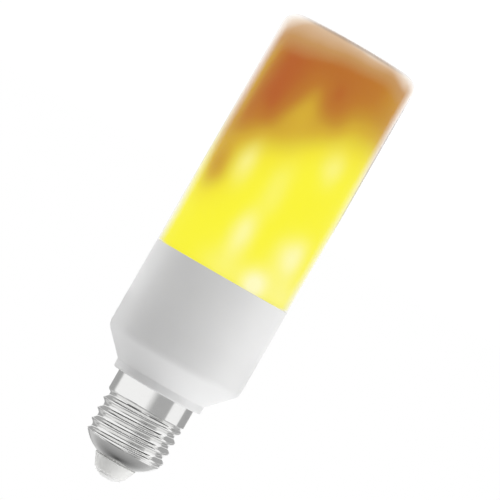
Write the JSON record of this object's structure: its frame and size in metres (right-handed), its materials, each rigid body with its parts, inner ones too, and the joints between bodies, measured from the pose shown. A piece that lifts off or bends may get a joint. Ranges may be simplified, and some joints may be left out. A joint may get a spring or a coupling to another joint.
{
  "type": "led stick bulb",
  "caption": "Slim cylindrical flame-effect lamp with a lit diffuser, a white driver housing and a screw cap.",
  "frame": {"origin": "centre of the flat face of the head, on which the bulb stands", "axes": "+Z along the bulb's axis from the head to the screw cap's centre contact; X and Y across it"},
  "size_m": [0.046, 0.0458, 0.1533],
  "materials": {
    "clear_cover": "clear, faintly frosted",
    "lit_diffuser": "diffusing, lit from inside as a flame",
    "white_housing": "fine satin moulding",
    "nickel_shell": "bright nickel plate",
    "pale_insulator": "smooth",
    "contact_metal": "tinned",
    "white_plastic": "smooth moulding",
    "led_board": "white solder mask with yellow diode faces",
    "screw_steel": "zinc plated",
    "circuit_board": "solder mask",
    "black_component": "moulded epoxy",
    "aluminium_can": "drawn can",
    "film_capacitor_coat": "dipped coat",
    "ferrite_choke": "sleeved winding",
    "resistor_coat": "dipped coat",
    "tinned_wire": "tinned copper",
    "red_wire": "insulated wire",
    "black_wire": "insulated wire"
  },
  "bodies": {
    "root": {"diffuser_cover": "clear_cover", "diffuser_sleeve": "lit_diffuser", "housing": "white_housing", "screw_shell": "nickel_shell", "cap_insulator": "pale_insulator", "centre_contact": "contact_metal", "led_carrier": "white_plastic", "led_flex_board": "led_board", "carrier_end_cap": "white_plastic", "head_led_board": "led_board", "carrier_base": "white_plastic", "base_screw_1": "screw_steel", "base_screw_2": "screw_steel", "base_screw_3": "screw_steel", "driver_board": "circuit_board", "controller_chip": "black_component", "bridge_rectifier": "black_component", "flex_socket": "black_component", "filter_capacitor": "aluminium_can", "film_capacitor": "film_capacitor_coat", "choke": "ferrite_choke", "fusible_resistor": "resistor_coat", "live_lead": "tinned_wire", "neutral_lead": "tinned_wire", "head_lead_positive": "red_wire", "head_lead_negative": "black_wire"}
  },
  "joints": []
}
